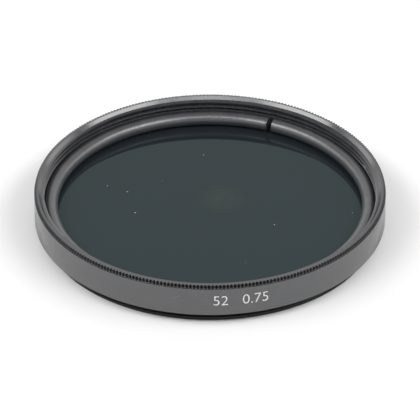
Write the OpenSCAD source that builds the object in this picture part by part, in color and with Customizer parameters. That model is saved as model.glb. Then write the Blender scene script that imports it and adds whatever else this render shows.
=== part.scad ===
// Screw-in neutral density filter. A turned and knurled ring carries a lens
// thread at each end, a disc of dark glass lies on the ring's inner ledge, and
// a split round-section ring, sprung into a groove, holds the glass down.
// The rear face lies on the plane z = 0, and the optical axis is +Z.

/* [Threads] */
// Nominal size of both threads, the number a filter is sold by
thread_d = 52; // [40:0.5:82]
// Pitch of both threads
thread_pitch = 0.75; // [0.5:0.25:1]
// Height of the rear thread, from the rear face up to the shoulder
rear_thread_h = 1.86; // [1.8:0.02:2.4]
// Depth of the front thread, from the rim down to its last flank
front_thread_h = 2.05; // [1.9:0.05:2.1]

/* [Outer wall] */
// Height of the wall, from the shoulder up to the rim
wall_h = 5.24; // [5:0.02:7]
// How far the wall stands outside the nominal thread, on the radius
wall_step = 1.1; // [1:0.05:2]
// Edge break at the foot of the wall
wall_edge = 0.12; // [0.05:0.01:0.2]

/* [Knurled rim] */
// Height of the knurled band under the rim
knurl_h = 0.6; // [0.5:0.05:1]
// Distance from one knurl groove to the next, around the band
knurl_pitch = 0.56; // [0.5:0.02:1]
// Depth of the knurl grooves at their deepest
knurl_depth = 0.34; // [0.1:0.02:0.36]
// Radial step from the wall down to the tips of the knurl
knurl_step = 0.1; // [0.05:0.05:0.15]
// Width of the flat part of the rim, knurl included
rim_flat = 0.58; // [0.5:0.02:0.8]

/* [Glass] */
// Thickness of the glass disc
glass_t = 2; // [1.6:0.05:2.2]
// Depth of the glass below the rim
glass_depth = 4.08; // [3.9:0.02:4.3]
// Edge break around both faces of the glass
glass_edge = 0.15; // [0.05:0.05:0.3]

/* [Split ring] */
// Diameter of the round section that the ring is made from
wire_d = 2.2; // [1.8:0.05:2.3]
// Width of the gap between the two ends
split_gap = 0.85; // [0.5:0.05:3]
// Where the gap stands, around the optical axis
split_angle = 67; // [0:1:359]

/* [Hidden] */
$fn = 96;

// An ISO 60 degree thread: how far its crests stand in from the nominal radius
thread_r = thread_d / 2;
thread_depth = 0.5413 * thread_pitch;
thread_flank = thread_depth * tan(30);
crest_r = thread_r - thread_depth;

total_h = rear_thread_h + wall_h;
wall_r = thread_r + wall_step;
tip_r = wall_r - knurl_step;
knurl_foot = total_h - knurl_h;
knurl_count = round(2 * PI * tip_r / knurl_pitch);

// A knurl groove is what two leaning Vs share: a pit that is deepest a little below
// the rim, runs out on the tips at its foot and breaks out of the rim above
groove_share = 0.95;         // share of the pitch that a groove takes at its widest
groove_run = 0.97 * knurl_h;
groove_drop = 0.36 * knurl_h;    // how far below the rim a groove is deepest
rim_share = 0.65;            // share of its depth that a groove has left at the rim
groove_half_w = groove_share * PI * tip_r / knurl_count;
foot_lean = atan(knurl_depth / (groove_run - groove_drop));
rim_lean = -atan((1 - rim_share) * knurl_depth / groove_drop);
foot_slack = 0.02;           // how far a V reaches past the foot of its root

// The rear thread: a lead-in at its foot and an undercut below the shoulder
lead_in = 0.35;
undercut_h = 0.45;
undercut_r = thread_r - 0.62 * thread_pitch - 0.1;

// The front thread: a cone from the flat of the rim down to a bore of nominal
// size, and below the bore the thread's last crest, which ends at the groove
rim_r = tip_r - rim_flat;
cone_foot = total_h - (rim_r - thread_r);
thread_foot = total_h - front_thread_h;

// The glass, its pocket and the ledge below it
glass_top = total_h - glass_depth;
glass_bottom = glass_top - glass_t;
glass_r = thread_r - 1.25;
pocket_r = glass_r + 0.1;
aperture_r = glass_r - 0.85;
aperture_edge = 0.2;

// The split ring's section: a circle, flat where it bears on glass and groove
wire_r = wire_d / 2;
wire_bite = 0.07;            // what the flat on the glass takes off the circle
groove_bite = 0.02;          // what the flat in the groove takes off the circle
groove_r = crest_r + 0.086;
wire_centre_r = groove_r + groove_bite - wire_r;
wire_centre_z = glass_top + wire_r - wire_bite;
// Where the section comes back inside the crest, and a little room above it
corner_reach = crest_r - wire_centre_r;
corner_z = wire_centre_z + sqrt(wire_r * wire_r - corner_reach * corner_reach);
groove_top = corner_z + 0.04;

// The section of the turned ring before it is knurled
frame_section = [
    [aperture_r + aperture_edge, 0],
    [thread_r - lead_in, 0],
    [thread_r, lead_in],
    [thread_r, rear_thread_h - undercut_h],
    [undercut_r, rear_thread_h - undercut_h + (thread_r - undercut_r) / 2],
    [undercut_r, rear_thread_h],
    [wall_r - wall_edge, rear_thread_h],
    [wall_r, rear_thread_h + wall_edge],
    [wall_r, knurl_foot],
    [tip_r, knurl_foot],
    [tip_r, total_h],
    [rim_r, total_h],
    [thread_r, cone_foot],
    [thread_r, thread_foot],
    [crest_r, thread_foot - thread_flank],
    [crest_r, groove_top],
    [groove_r, groove_top],
    [groove_r, glass_top],
    [pocket_r, glass_top],
    [pocket_r, glass_bottom],
    [aperture_r, glass_bottom],
    [aperture_r, aperture_edge],
];

// A V whose root leans through a groove's deepest point, from below it to above it
module leaning_v(lean, below, above) {
    slope = groove_half_w / (knurl_depth * cos(lean));
    translate([tip_r - knurl_depth, 0, total_h - groove_drop])
        rotate([0, -lean, 0])
            translate([0, 0, -below])
                linear_extrude(height = below + above)
                    polygon([
                        [0, 0],
                        [knurl_h, slope * knurl_h],
                        [knurl_h, -slope * knurl_h],
                    ]);
}

module knurl_groove() {
    intersection() {
        leaning_v(foot_lean, (groove_run - groove_drop) / cos(foot_lean) + foot_slack, 2 * knurl_h);
        leaning_v(rim_lean, 3 * knurl_h, 2 * knurl_h);
    }
}

// Turned from one blank, so the wall, both threads and the knurl are one solid
module filter_frame() {
    color("#26282b")
        difference() {
            rotate_extrude()
                polygon(frame_section);
            for (i = [0 : knurl_count - 1])
                rotate(360 / knurl_count * i)
                    knurl_groove();
        }
}

module nd_glass() {
    color("#0e1516")
        rotate_extrude()
            polygon([
                [0, glass_bottom],
                [glass_r - glass_edge, glass_bottom],
                [glass_r, glass_bottom + glass_edge],
                [glass_r, glass_top - glass_edge],
                [glass_r - glass_edge, glass_top],
                [0, glass_top],
            ]);
}

module wire_section() {
    intersection() {
        translate([wire_centre_r, wire_centre_z])
            circle(r = wire_r);
        translate([groove_r - 2 * wire_d, glass_top])
            square(2 * wire_d);
    }
}

module retaining_ring() {
    color("#303236")
        difference() {
            rotate_extrude()
                wire_section();
            rotate(split_angle)
                translate([0, -split_gap / 2, glass_top - wire_d])
                    cube([wall_r, split_gap, 3 * wire_d]);
        }
}

filter_frame();
nd_glass();
retaining_ring();
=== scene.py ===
import math

import bmesh
import bpy
import numpy as np
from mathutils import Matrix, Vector


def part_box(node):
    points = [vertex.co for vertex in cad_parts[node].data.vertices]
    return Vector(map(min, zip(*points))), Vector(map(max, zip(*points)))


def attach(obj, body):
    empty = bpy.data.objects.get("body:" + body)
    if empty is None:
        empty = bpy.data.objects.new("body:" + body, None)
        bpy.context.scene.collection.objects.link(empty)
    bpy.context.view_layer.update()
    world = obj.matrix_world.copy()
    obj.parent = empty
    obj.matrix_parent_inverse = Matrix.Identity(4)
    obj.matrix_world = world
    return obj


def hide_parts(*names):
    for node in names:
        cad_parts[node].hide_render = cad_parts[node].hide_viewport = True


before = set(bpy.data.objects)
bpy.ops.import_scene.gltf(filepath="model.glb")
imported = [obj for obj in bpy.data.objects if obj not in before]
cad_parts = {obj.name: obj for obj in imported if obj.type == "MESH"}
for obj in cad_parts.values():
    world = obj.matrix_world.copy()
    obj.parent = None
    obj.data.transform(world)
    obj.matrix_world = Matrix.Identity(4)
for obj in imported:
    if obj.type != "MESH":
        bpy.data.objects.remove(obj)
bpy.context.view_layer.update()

# Sizes below are millimetres, as a filter is measured; MM turns them into metres
MM = 0.001

# The turned ring's outer sizes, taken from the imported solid
frame_low, frame_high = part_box("filter_frame")
TOTAL_H = (frame_high.z - frame_low.z) / MM
WALL_R = (frame_high.x - frame_low.x) / 2 / MM
WALL_STEP = 1.1                  # how far the wall stands outside the nominal thread
WALL_EDGE = 0.12                 # edge break at the foot of the wall
EDGE = 0.03                      # break on the ring's sharp turned edges
SHARP_ANGLE = math.radians(32)   # edges that bend more than this are shaded sharp

# Both threads, with the ISO 60 degree profile
THREAD_R = WALL_R - WALL_STEP
PITCH = 0.75
FLANK_RUN = math.tan(math.radians(30))    # how far a flank runs along the axis for its depth
ROOT_HALF_W = PITCH / 16         # half of the flat at the foot of a groove
THREAD_GROOVES = range(-4, 2)    # turns of groove that reach every part of either thread
GROOVE_CORNERS = 4               # rows of points that follow each turn of groove
SAME_PLACE = 0.00005             # points of the ring that are nearer than this become one

# The front thread and the lip that its last flank ends on
FRONT_THREAD_H = 2.05            # from the rim down to its last flank
FRONT_THREAD_DEPTH = 0.5413 * PITCH    # as ISO has it for a female thread
CREST_R = THREAD_R - FRONT_THREAD_DEPTH
LIP_TOP = TOTAL_H - FRONT_THREAD_H - FRONT_THREAD_DEPTH * FLANK_RUN
HELIX_START = math.radians(90)   # its grooves are counted from the back of the ring
FIRST_GROOVE_DROP = 0.39         # from the rim down to the middle of its first groove there

# The rear thread and the undercut below the shoulder
REAR_THREAD_H = 1.86             # from the rear face up to the shoulder
REAR_THREAD_DEPTH = 0.46
LEAD_IN = 0.35
UNDERCUT_H = 0.45
UNDERCUT_R = THREAD_R - 0.62 * PITCH - 0.1    # a little deeper than the thread
REAR_THREAD_TOP = REAR_THREAD_H - UNDERCUT_H

# The knurled rim: a band of tips with grooves between them
KNURL_H = 0.6
KNURL_PITCH = 0.56
KNURL_DEPTH = 0.34
KNURL_STEP = 0.1                 # from the wall in to the tips
RIM_FLAT = 0.58                  # width of the flat part of the rim, knurl included
TIP_R = WALL_R - KNURL_STEP
RIM_R = TIP_R - RIM_FLAT
CONE_FOOT = TOTAL_H - (RIM_R - THREAD_R)
KNURL_FOOT = TOTAL_H - KNURL_H
KNURL_COUNT = round(2 * math.pi * TIP_R / KNURL_PITCH)
KNURL_SHARE = 0.95               # share of the pitch that a groove takes at its widest
KNURL_RUN = 0.99 * KNURL_H       # how far below the rim a groove runs out
KNURL_DROP = 0.36 * KNURL_H      # how far below the rim a groove is deepest
KNURL_BODY = 0.55                # below 1, a groove keeps its width nearly down to its foot
KNURL_LEAST = 0.02               # keeps the very foot of a groove open
KNURL_RIM_SHARE = 0.95           # share of its depth that a groove has left at the rim
KNURL_ROWS = 11                  # rows of points from a groove's foot up to the rim
KNURL_SIDES = np.array([-1, 0, 1])    # the columns of points of a groove: edge, root, edge
KNURL_FACE_DEPTH = 0.02          # a face whose middle lies deeper than this belongs to a groove

# The glass, its pocket and the ledge below it
GLASS_DEPTH = 4.08               # from the rim down to the glass
GLASS_T = 2.0
GLASS_STEP = 1.25                # how far the glass stays inside the nominal thread
GLASS_PLAY = 0.1
LEDGE_W = 0.85
GLASS_TOP = TOTAL_H - GLASS_DEPTH
GLASS_BOTTOM = GLASS_TOP - GLASS_T
GLASS_R = THREAD_R - GLASS_STEP
POCKET_R = GLASS_R + GLASS_PLAY
APERTURE_R = GLASS_R - LEDGE_W
APERTURE_EDGE = 0.2

# The split ring, round in section, and the seat that it is sprung into
WIRE_R = 1.1
WIRE_BITE = 0.07                 # what the flat on the glass takes off the section
SEAT_BITE = 0.02                 # what the flat in the seat takes off it
SEAT_DEPTH = 0.086               # how far the seat is cut outside the thread's crest
SEAT_ROOM = 0.04                 # room above the section, where it comes back inside the crest
SEAT_R = CREST_R + SEAT_DEPTH
WIRE_CENTRE_R = SEAT_R + SEAT_BITE - WIRE_R
WIRE_CENTRE_Z = GLASS_TOP + WIRE_R - WIRE_BITE
SEAT_TOP = WIRE_CENTRE_Z + math.sqrt(WIRE_R ** 2 - (CREST_R - WIRE_CENTRE_R) ** 2) + SEAT_ROOM
SPLIT_GAP = 0.85
SPLIT_ANGLE = math.radians(67)
WIRE_SECTIONS = 540              # sections from one rounded end of the ring to the other
WIRE_POINTS = 49                 # points of a section
END_EDGE = 0.06                  # rounding of the ring's two ends
END_STEPS = 5                    # sections that an end is rounded with

# Dust and a smear on the glass: distance right of the axis, behind it, and radius
DUST = (
    (-15.96, 6.66, 0.09), (-12.82, 4.97, 0.10), (-11.51, -0.90, 0.12),
    (-1.02, 15.50, 0.10), (-7.41, 8.07, 0.05), (-21.21, -8.61, 0.12),
    (9.92, -4.22, 0.11), (5.40, -14.58, 0.05), (22.01, -0.90, 0.08),
)
DUST_RAGGED = 0.06               # how far the outline of a speck wanders
DUST_GRAIN = 0.12                # length of a bend in it
DUST_COLOR = (0.45, 0.45, 0.42)
DUST_ROUGHNESS = 0.8
SMEAR = (1.9, 2.9, 4.6)
SMEAR_COLOR = (0.040, 0.043, 0.034)
GLASS_COLOR = (0.016, 0.019, 0.024)

# The numbers printed on the wall
PRINT_TEXT = "52   0.75"
PRINT_SIZE = 2.45
PRINT_T = 0.015                  # thickness of the ink
PRINT_THINNING = 0.03            # what each side of a stroke is drawn in by
PRINT_DROP = 3.45                # from the rim down to the foot of the numbers
PRINT_ANGLE = math.radians(280)

# The floor, and the backdrop that goes from white to dark between two elevations
FLOOR_HALF = 600
FLOOR_Z = -0.01                  # just below the rear face, so that the two don't lie in one plane
FLOOR_LIFT = 0.08                # what the floor adds of its own where it is seen
BACKDROP_WHITE_TO = math.radians(6)
BACKDROP_DARK_FROM = math.radians(30)

# The lamps: compass direction and elevation in degrees, width and height in metres, strength
LAMP_DISTANCE = 0.8
SOFTBOXES = {
    "left_softbox": (-67, 48, 0.66, 0.28, 4.6),
    "right_softbox": (67, 48, 0.66, 0.28, 4.6),
    "left_low_softbox": (-108, 25, 0.7, 0.22, 1.6),
    "right_low_softbox": (108, 25, 0.7, 0.22, 1.6),
    "front_softbox": (0, 58, 1.4, 0.12, 5.0),
    "back_softbox": (180, 30, 1.12, 0.58, 0.6),
}

# The camera of the photograph
IMAGE_SIZE = 420
CAMERA_ELEVATION = math.radians(33.49)
CAMERA_DISTANCE = 756.0
FOCAL_PIXELS = 4905.0
SENSOR_W = 36.0
IMAGE_CENTRE_Y = 187.24          # where the centre of the rim falls in the photograph

# A Mix node's sockets for colours share their names with others, and are told apart by place
MIX_FACTOR = 0
MIX_BELOW = 6
MIX_ABOVE = 7
MIX_RESULT = 2


def new_mesh_object(name, vertices, faces):
    """A mesh object from points in millimetres."""
    mesh = bpy.data.meshes.new(name)
    mesh.from_pydata((np.asarray(vertices) * MM).tolist(), [], faces)
    mesh.validate()
    obj = bpy.data.objects.new(name, mesh)
    bpy.context.scene.collection.objects.link(obj)
    return obj


def shade(mesh):
    """Smooth shading, apart from the sharp edges."""
    mesh.shade_smooth()
    mesh.set_sharp_from_angle(angle=SHARP_ANGLE)


def ring_faces(rows, columns, close_rows, seam=None):
    """The quads between rows of points that each run once round the axis. Where the last column
    meets the first one, seam says as which row each row goes on."""
    seam = seam or range(rows)
    faces = []
    for row in range(rows if close_rows else rows - 1):
        upper = (row + 1) % rows
        for column in range(columns):
            after = (column + 1) % columns
            row_after, upper_after = (row, upper) if after else (seam[row], seam[upper])
            faces.append((row * columns + column, row_after * columns + after,
                          upper_after * columns + after, upper * columns + column))
    return faces


# The turned ring

def thread_rows(kind, depth, upwards):
    """Rows along the corners of a helical thread: each corner's height from the middle of groove 0."""
    edge = ROOT_HALF_W + depth * FLANK_RUN
    rows = [(THREAD_R, groove * PITCH + corner, kind)
            for groove in THREAD_GROOVES for corner in (-edge, -ROOT_HALF_W, ROOT_HALF_W, edge)]
    return rows if upwards else rows[::-1]


def frame_rows():
    """The ring's section, counter-clockwise from its rear edge: radius, height and what is cut there."""
    rows = [(APERTURE_R + APERTURE_EDGE, 0, "plain"), (THREAD_R - LEAD_IN, 0, "plain")]
    rows += thread_rows("rear", REAR_THREAD_DEPTH, True)
    rows += [
        (UNDERCUT_R, REAR_THREAD_TOP + (THREAD_R - UNDERCUT_R) / 2, "plain"),
        (UNDERCUT_R, REAR_THREAD_H, "plain"),
        (WALL_R - WALL_EDGE, REAR_THREAD_H, "plain"),
        (WALL_R - WALL_EDGE / 3, REAR_THREAD_H + WALL_EDGE / 3, "plain"),
        (WALL_R, REAR_THREAD_H + WALL_EDGE, "plain"),
        (WALL_R, KNURL_FOOT, "plain"),
        (TIP_R, KNURL_FOOT, "plain"),
    ]
    knurl_heights = np.linspace(TOTAL_H - KNURL_RUN, TOTAL_H - EDGE, KNURL_ROWS)
    rows += [(TIP_R, height, "knurl") for height in knurl_heights]
    rows += [
        (TIP_R - EDGE, TOTAL_H, "knurl"),
        (TIP_R - KNURL_DEPTH - EDGE, TOTAL_H, "plain"),
        (RIM_R + EDGE / 2, TOTAL_H, "plain"),
        (RIM_R - EDGE / 2, TOTAL_H - EDGE, "plain"),
        (THREAD_R, CONE_FOOT, "plain"),
    ]
    rows += thread_rows("front", FRONT_THREAD_DEPTH, False)
    rows += [
        (CREST_R, LIP_TOP, "plain"),
        (CREST_R, SEAT_TOP, "plain"),
        (SEAT_R, SEAT_TOP, "plain"),
        (SEAT_R, GLASS_TOP, "plain"),
        (POCKET_R, GLASS_TOP, "plain"),
        (POCKET_R, GLASS_BOTTOM, "plain"),
        (APERTURE_R, GLASS_BOTTOM, "plain"),
        (APERTURE_R, APERTURE_EDGE, "plain"),
    ]
    return rows


def thread_cut(height, start, depth):
    """How deep a thread is cut at a height, where the middle of one of its grooves is at start."""
    from_groove = np.abs((height - start + PITCH / 2) % PITCH - PITCH / 2)
    return np.clip(depth - (from_groove - ROOT_HALF_W) / FLANK_RUN, 0, depth)


def front_thread(corner, angle):
    """Radius and height of a corner of the female thread, which goes down to its last flank."""
    groove = TOTAL_H - FIRST_GROOVE_DROP + PITCH * (angle - HELIX_START) / (2 * math.pi)
    height = np.clip(groove + corner, LIP_TOP, CONE_FOOT)
    cut = thread_cut(height, groove, FRONT_THREAD_DEPTH)
    return CREST_R + np.minimum(cut, (height - LIP_TOP) / FLANK_RUN), height


def rear_thread(corner, angle):
    """Radius and height of a corner of the male thread, above its lead-in."""
    groove = REAR_THREAD_TOP - PITCH / 4 + PITCH * angle / (2 * math.pi)
    height = np.clip(groove + corner, LEAD_IN, REAR_THREAD_TOP)
    return THREAD_R - thread_cut(height, groove, REAR_THREAD_DEPTH), height


def seam_rows(rows):
    """As which row each row goes on after one turn: a thread's rows have moved on by one groove."""
    kinds = [kind for radius, height, kind in rows]
    front_first = kinds.index("front")
    rear_last = len(kinds) - 1 - kinds[::-1].index("rear")
    seam = []
    for row, kind in enumerate(kinds):
        if kind == "front":
            seam.append(max(row - GROOVE_CORNERS, front_first))
        elif kind == "rear":
            seam.append(min(row + GROOVE_CORNERS, rear_last))
        else:
            seam.append(row)
    return seam


def knurl_share(height):
    """How deep a knurl groove is at a height, as a share of its full depth: two quarter waves,
    of which the lower one is full-bodied."""
    drop = TOTAL_H - height
    if drop < KNURL_DROP:
        return KNURL_RIM_SHARE + (1 - KNURL_RIM_SHARE) * math.sin(math.pi / 2 * drop / KNURL_DROP)
    wave = math.cos(math.pi / 2 * (drop - KNURL_DROP) / (KNURL_RUN - KNURL_DROP))
    return max(KNURL_LEAST, wave) ** KNURL_BODY


def merge_points(mesh):
    """Makes one point of the points that share a place, such as thread corners past a thread's end."""
    work = bmesh.new()
    work.from_mesh(mesh)
    bmesh.ops.remove_doubles(work, verts=work.verts, dist=SAME_PLACE * MM)
    work.to_mesh(mesh)
    work.free()


def build_turned_ring():
    """One closed mesh with three columns of points to each knurl groove: its root and its two edges."""
    rows = frame_rows()
    groove = np.arange(KNURL_COUNT)[:, None]
    at_root = np.tile(KNURL_SIDES == 0, KNURL_COUNT)
    points = []
    for radius, height, cut in rows:
        share = knurl_share(height) if cut == "knurl" else 0
        half_width = KNURL_SHARE / 2 * share if cut == "knurl" else 1 / len(KNURL_SIDES)
        angle = 2 * math.pi * (groove + KNURL_SIDES * half_width).ravel() / KNURL_COUNT
        radii = np.full(angle.shape, float(radius))
        heights = np.full(angle.shape, float(height))
        if cut == "front":
            radii, heights = front_thread(height, angle)
        elif cut == "rear":
            radii, heights = rear_thread(height, angle)
        elif cut == "knurl":
            radii[at_root] = TIP_R - KNURL_DEPTH * share
        points.append(np.stack([radii * np.cos(angle), radii * np.sin(angle), heights], axis=1))
    faces = ring_faces(len(rows), len(at_root), True, seam_rows(rows))
    obj = new_mesh_object("turned_ring", np.concatenate(points), faces)
    merge_points(obj.data)
    shade(obj.data)
    return obj


# The split ring

def wire_outline():
    """The ring's section as points: a circle, flat where it bears on the glass and in the seat."""
    flat_angle = math.acos((WIRE_CENTRE_Z - GLASS_TOP) / WIRE_R)
    turns = np.linspace(-math.pi / 2 + flat_angle, 1.5 * math.pi - flat_angle, WIRE_POINTS)
    radius = np.minimum(WIRE_CENTRE_R + WIRE_R * np.cos(turns), SEAT_R)
    return radius, WIRE_CENTRE_Z + WIRE_R * np.sin(turns)


def build_split_ring():
    """The round-section ring, with its two ends a little rounded at the gap."""
    radius, height = wire_outline()
    half_gap = SPLIT_GAP / 2 / WIRE_CENTRE_R
    round_steps = np.linspace(0, math.pi / 2, END_STEPS)
    inset = END_EDGE * (1 - np.sin(round_steps))
    end_turns = half_gap + END_EDGE * (1 - np.cos(round_steps)) / WIRE_CENTRE_R
    middle = np.linspace(end_turns[-1], 2 * math.pi - end_turns[-1], WIRE_SECTIONS)[1:-1]
    turns = np.concatenate([end_turns, middle, (2 * math.pi - end_turns)[::-1]])
    insets = np.concatenate([inset, np.zeros(len(middle)), inset[::-1]])
    points = []
    for turn, inset_here in zip(turns, insets):
        shrink = 1 - inset_here / WIRE_R
        r = WIRE_CENTRE_R + (radius - WIRE_CENTRE_R) * shrink
        z = WIRE_CENTRE_Z + (height - WIRE_CENTRE_Z) * shrink
        angle = SPLIT_ANGLE + turn
        points.append(np.stack([r * math.cos(angle), r * math.sin(angle), z], axis=1))
    sections, corners = len(points), len(radius)
    faces = [tuple(reversed(face)) for face in ring_faces(sections, corners, False)]
    faces.append(tuple(range(corners)))
    faces.append(tuple(reversed(range((sections - 1) * corners, sections * corners))))
    obj = new_mesh_object("split_ring", np.concatenate(points), faces)
    shade(obj.data)
    return obj


# The print

def build_print():
    """Numbers as thin raised ink, bent round the wall and sunk a little into it."""
    curve = bpy.data.curves.new("numbers", "FONT")
    curve.body = PRINT_TEXT
    curve.size = PRINT_SIZE
    curve.align_x = "CENTER"
    curve.extrude = PRINT_T
    curve.offset = -PRINT_THINNING
    text = bpy.data.objects.new("numbers", curve)
    bpy.context.scene.collection.objects.link(text)
    bpy.context.view_layer.update()
    flat = bpy.data.meshes.new_from_object(text.evaluated_get(bpy.context.evaluated_depsgraph_get()))
    points = np.array([vertex.co[:] for vertex in flat.vertices])
    faces = [tuple(face.vertices) for face in flat.polygons]
    bpy.data.objects.remove(text)
    bpy.data.meshes.remove(flat)
    angle = PRINT_ANGLE + points[:, 0] / WALL_R
    radius = WALL_R + points[:, 2]
    height = TOTAL_H - PRINT_DROP + points[:, 1]
    wrapped = np.stack([radius * np.cos(angle), radius * np.sin(angle), height], axis=1)
    return new_mesh_object("printed_numbers", wrapped, faces)


# Nodes; their owner is a material or the world

def add_node(owner, kind, **settings):
    """A node of a kind, with the given properties, and the given values or links on its inputs."""
    node = owner.node_tree.nodes.new(kind)
    for name, value in settings.items():
        if hasattr(node, name):
            setattr(node, name, value)
    for name, value in settings.items():
        socket = node.inputs.get(name.replace("_", " "))
        if isinstance(value, bpy.types.NodeSocket):
            owner.node_tree.links.new(value, socket)
        elif socket and not hasattr(node, name):
            socket.default_value = value
    return node


def calculate(owner, operation, *values):
    """The result of a Math node; each value is a number or another node's output."""
    node = add_node(owner, "ShaderNodeMath", operation=operation)
    for socket, value in zip(node.inputs, values):
        if isinstance(value, bpy.types.NodeSocket):
            owner.node_tree.links.new(value, socket)
        else:
            socket.default_value = value
    return node.outputs["Value"]


def spread(owner, value, low, high, start=0.3, end=0.7):
    """A value that runs from start to end, mapped to run from low to high."""
    node = add_node(owner, "ShaderNodeMapRange", Value=value)
    for name, number in (("From Min", start), ("From Max", end), ("To Min", low), ("To Max", high)):
        node.inputs[name].default_value = number
    return node.outputs["Result"]


def tint(owner, value, low, high):
    """A colour between low and high, for a noise value."""
    ramp = add_node(owner, "ShaderNodeValToRGB", Fac=spread(owner, value, 0, 1))
    ramp.color_ramp.elements[0].color = (*low, 1)
    ramp.color_ramp.elements[1].color = (*high, 1)
    return ramp.outputs["Color"]


def blend(owner, factor, below, above):
    """A colour that goes from one to the other with factor; each is a colour or another node's output."""
    node = add_node(owner, "ShaderNodeMix", data_type="RGBA")
    for place, value in ((MIX_FACTOR, factor), (MIX_BELOW, below), (MIX_ABOVE, above)):
        if isinstance(value, bpy.types.NodeSocket):
            owner.node_tree.links.new(value, node.inputs[place])
        else:
            node.inputs[place].default_value = (*value, 1)
    return node.outputs[MIX_RESULT]


def object_point(owner):
    return add_node(owner, "ShaderNodeTexCoord").outputs["Object"]


def noise(owner, size, detail=2.0):
    """Cloudy noise around 0.5, with patches about size millimetres across."""
    return add_node(owner, "ShaderNodeTexNoise", Vector=object_point(owner),
                    Scale=1 / (size * MM), Detail=detail).outputs["Fac"]


def turning_marks(owner, feed):
    """Noise in fine circles round the optical axis, as a turning tool leaves it; feed in millimetres."""
    split = add_node(owner, "ShaderNodeSeparateXYZ", Vector=object_point(owner))
    squares = [calculate(owner, "POWER", split.outputs[name], 2) for name in ("X", "Y")]
    radius = calculate(owner, "SQRT", calculate(owner, "ADD", *squares))
    across = calculate(owner, "ADD", calculate(owner, "DIVIDE", radius, MM),
                       calculate(owner, "DIVIDE", split.outputs["Z"], MM))
    return add_node(owner, "ShaderNodeTexNoise", noise_dimensions="1D", W=across,
                    Scale=1 / feed, Detail=2.0).outputs["Fac"]


def distance_on_glass(owner, point, x, y):
    """Distance in millimetres of a shader point from a place on the glass."""
    away = add_node(owner, "ShaderNodeVectorMath", operation="DISTANCE")
    owner.node_tree.links.new(point, away.inputs[0])
    away.inputs[1].default_value = (x * MM, y * MM, GLASS_TOP * MM)
    return calculate(owner, "DIVIDE", away.outputs["Value"], MM)


def dust(owner):
    """1 on the specks of dust that lie on the glass, and 0 beside them; their outlines are ragged."""
    ragged = add_node(owner, "ShaderNodeTexNoise", Vector=object_point(owner),
                      Scale=1 / (DUST_GRAIN * MM))
    shift = add_node(owner, "ShaderNodeVectorMath", operation="SCALE", Vector=ragged.outputs["Color"],
                     Scale=DUST_RAGGED * MM)
    moved = add_node(owner, "ShaderNodeVectorMath", operation="ADD")
    owner.node_tree.links.new(object_point(owner), moved.inputs[0])
    owner.node_tree.links.new(shift.outputs["Vector"], moved.inputs[1])
    nearest = 1000.0    # in radii of a speck, and further than any of them is
    for x, y, radius in DUST:
        away = distance_on_glass(owner, moved.outputs["Vector"], x, y)
        nearest = calculate(owner, "MINIMUM", nearest, calculate(owner, "DIVIDE", away, radius))
    return calculate(owner, "LESS_THAN", nearest, 1.0)


def seen_directly(owner):
    """1 for what camera, gloss and glass see, and 0 for the light that falls on the object."""
    rays = add_node(owner, "ShaderNodeLightPath").outputs
    mirrored = calculate(owner, "MAXIMUM", rays["Is Glossy Ray"], rays["Is Transmission Ray"])
    return calculate(owner, "MAXIMUM", rays["Is Camera Ray"], mirrored)


# Materials

def principled(name, **values):
    """A new material and its shader, with constant values set on the shader's own sockets."""
    material = bpy.data.materials.new(name)
    material.use_nodes = True
    shader = material.node_tree.nodes["Principled BSDF"]
    for socket, value in values.items():
        shader.inputs[socket.replace("_", " ")].default_value = value
    return material, shader


def wire_up(material, shader, color, roughness, relief, relief_height):
    """Links colour, roughness and a bump, whose full height is in millimetres, to the shader."""
    bump = add_node(material, "ShaderNodeBump", Height=relief, Distance=relief_height * MM, Strength=1.0)
    links = material.node_tree.links
    links.new(color, shader.inputs["Base Color"])
    links.new(roughness, shader.inputs["Roughness"])
    links.new(bump.outputs["Normal"], shader.inputs["Normal"])


def anodised_material():
    """Black anodised aluminium: fine turning marks, and a faint mottle in the dye."""
    material, shader = principled("black_anodised_aluminium", IOR=1.95)
    marks = turning_marks(material, feed=0.05)
    mottle = noise(material, size=1.6, detail=4.0)
    color = tint(material, mottle, low=(0.031, 0.032, 0.036), high=(0.042, 0.043, 0.047))
    both = calculate(material, "ADD", marks, mottle)
    roughness = spread(material, both, low=0.15, high=0.23, start=0.7, end=1.3)
    wire_up(material, shader, color, roughness, marks, relief_height=0.0008)
    return material


def painted_shade_anodised_material():
    """The same anodising, rougher, with painted shade: a far darker colour and a weaker shine stand in
    for the shade that falls in the knurl grooves and under the overhanging wall.
    """
    material, shader = principled("anodised_aluminium_with_painted_shade", IOR=1.95, Specular_IOR_Level=0.15)
    grain = noise(material, size=0.3, detail=3.0)
    # painted shade: a nearly black colour for the knurl grooves and the thread below the shoulder
    color = tint(material, grain, low=(0.008, 0.008, 0.009), high=(0.012, 0.012, 0.013))
    roughness = spread(material, grain, low=0.5, high=0.62)
    wire_up(material, shader, color, roughness, grain, relief_height=0.001)
    return material


def wire_material():
    """Satin black paint on the split ring, with a fine pebble in it."""
    material, shader = principled("satin_black_paint", IOR=2.1)
    pebble = noise(material, size=0.22, detail=3.0)
    cloud = noise(material, size=2.5)
    color = tint(material, cloud, low=(0.036, 0.037, 0.041), high=(0.052, 0.053, 0.058))
    roughness = spread(material, pebble, low=0.33, high=0.43)
    wire_up(material, shader, color, roughness, pebble, relief_height=0.003)
    return material


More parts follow.
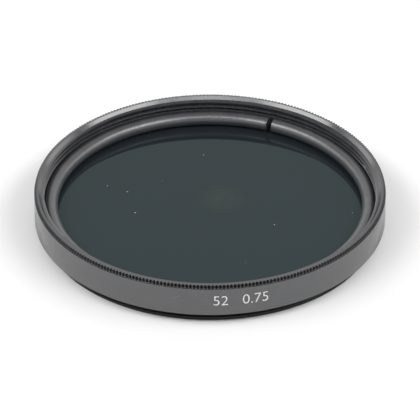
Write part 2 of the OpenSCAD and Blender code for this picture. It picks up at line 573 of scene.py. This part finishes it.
def glass_material():
    """Dark neutral glass, polished and coated, with a faint smear and a few specks of dust."""
    material, shader = principled("dark_neutral_glass", IOR=1.52, Specular_Tint=(0.4, 1, 0.9, 1),
                                  Specular_IOR_Level=0.28)
    x, y, radius = SMEAR
    from_smear = distance_on_glass(material, object_point(material), x, y)
    smear = spread(material, from_smear, low=1, high=0, start=0, end=radius)
    smear = calculate(material, "MULTIPLY", smear, noise(material, size=1.5))
    color = blend(material, smear, GLASS_COLOR, SMEAR_COLOR)
    specks = dust(material)
    color = blend(material, specks, color, DUST_COLOR)
    haze = spread(material, noise(material, size=6.0, detail=3.0), low=0.015, high=0.04)
    roughness = calculate(material, "ADD", haze, calculate(material, "MULTIPLY", specks, DUST_ROUGHNESS))
    material.node_tree.links.new(color, shader.inputs["Base Color"])
    material.node_tree.links.new(roughness, shader.inputs["Roughness"])
    return material


def ink_material():
    """White printing ink, a little uneven."""
    material, shader = principled("white_ink", Roughness=0.5)
    cover = noise(material, size=0.25, detail=3.0)
    color = tint(material, cover, low=(0.72, 0.72, 0.71), high=(0.86, 0.86, 0.85))
    material.node_tree.links.new(color, shader.inputs["Base Color"])
    return material


def floor_material():
    """A pale floor that is seen as white where no shadow falls."""
    material, shader = principled("pale_floor", Base_Color=(0.86, 0.86, 0.86, 1), Roughness=1.0,
                                  Specular_IOR_Level=0.0, Emission_Color=(1, 1, 1, 1))
    lift = calculate(material, "MULTIPLY", seen_directly(material), FLOOR_LIFT)
    material.node_tree.links.new(lift, shader.inputs["Emission Strength"])
    return material


def dress(obj, *materials):
    obj.data.materials.clear()
    for material in materials:
        obj.data.materials.append(material)


def mark_painted_shade_faces(mesh):
    """Gives the second material, which paints shade, to the knurl grooves and to what lies below the
    shoulder, where shade falls.
    """
    for face in mesh.polygons:
        x, y, height = face.center / MM
        in_groove = (RIM_R + EDGE < math.hypot(x, y) < TIP_R - KNURL_FACE_DEPTH
                     and KNURL_FOOT < height < TOTAL_H - EDGE / 4)
        if in_groove or height < REAR_THREAD_H - EDGE:
            face.material_index = 1


# Light, floor and camera

def add_softbox(name, azimuth, elevation, width, height, strength):
    """A rectangular lamp that faces the object; azimuth 0 is at the camera."""
    a, e = math.radians(azimuth), math.radians(elevation)
    way = Vector((math.sin(a) * math.cos(e), -math.cos(a) * math.cos(e), math.sin(e)))
    lamp = bpy.data.lights.new(name, "AREA")
    lamp.shape = "RECTANGLE"
    lamp.size = width
    lamp.size_y = height
    lamp.energy = strength * math.pi * width * height
    obj = bpy.data.objects.new(name, lamp)
    obj.location = Vector((0, 0, TOTAL_H / 2)) * MM + way * LAMP_DISTANCE
    obj.rotation_euler = way.to_track_quat("Z", "Y").to_euler()
    bpy.context.scene.collection.objects.link(obj)


def build_world(fill, overhead):
    """Even light of strength fill on the object, and a backdrop that camera, gloss and glass all see:
    white at the horizon, falling to strength overhead higher up."""
    world = bpy.data.worlds.new("studio")
    world.use_nodes = True
    background = world.node_tree.nodes["Background"]
    background.inputs["Color"].default_value = (1, 1, 1, 1)
    way = add_node(world, "ShaderNodeTexCoord").outputs["Generated"]
    rise = add_node(world, "ShaderNodeSeparateXYZ", Vector=way).outputs["Z"]
    backdrop = spread(world, rise, low=1, high=overhead,
                      start=math.sin(BACKDROP_WHITE_TO), end=math.sin(BACKDROP_DARK_FROM))
    backdrop = calculate(world, "SUBTRACT", backdrop, fill)
    strength = calculate(world, "ADD", fill, calculate(world, "MULTIPLY", backdrop, seen_directly(world)))
    world.node_tree.links.new(strength, background.inputs["Strength"])
    bpy.context.scene.world = world


def build_floor():
    corners = [(x * FLOOR_HALF, y * FLOOR_HALF, FLOOR_Z) for x, y in ((-1, -1), (1, -1), (1, 1), (-1, 1))]
    obj = new_mesh_object("floor", corners, [(0, 1, 2, 3)])
    dress(obj, floor_material())


def build_camera():
    """The photograph's view: the rim's centre lies IMAGE_CENTRE_Y below the frame's top edge."""
    toward = Vector((0, -math.cos(CAMERA_ELEVATION), math.sin(CAMERA_ELEVATION)))
    up = Vector((0, math.sin(CAMERA_ELEVATION), math.cos(CAMERA_ELEVATION)))
    drop = (IMAGE_SIZE / 2 - IMAGE_CENTRE_Y) * CAMERA_DISTANCE / FOCAL_PIXELS
    rim_centre = Vector((0, 0, TOTAL_H))
    data = bpy.data.cameras.new("camera")
    data.sensor_width = SENSOR_W
    data.lens = SENSOR_W * FOCAL_PIXELS / IMAGE_SIZE
    data.clip_start = 0.01
    camera = bpy.data.objects.new("camera", data)
    camera.location = (rim_centre - up * drop + toward * CAMERA_DISTANCE) * MM
    camera.rotation_euler = toward.to_track_quat("Z", "Y").to_euler()
    bpy.context.scene.collection.objects.link(camera)
    bpy.context.scene.camera = camera


turned_ring = build_turned_ring()
# the second material paints shade into the knurl grooves and onto the rear thread
dress(turned_ring, anodised_material(), painted_shade_anodised_material())
mark_painted_shade_faces(turned_ring.data)
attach(turned_ring, "root")
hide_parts("filter_frame")

split_ring = build_split_ring()
dress(split_ring, wire_material())
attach(split_ring, "root")
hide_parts("retaining_ring")

numbers = build_print()
dress(numbers, ink_material())
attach(numbers, "root")

dress(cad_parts["nd_glass"], glass_material())

build_floor()
build_world(fill=0.2, overhead=0.2)
for softbox, measures in SOFTBOXES.items():
    add_softbox(softbox, *measures)
build_camera()
bpy.context.scene.view_settings.view_transform = "Standard"
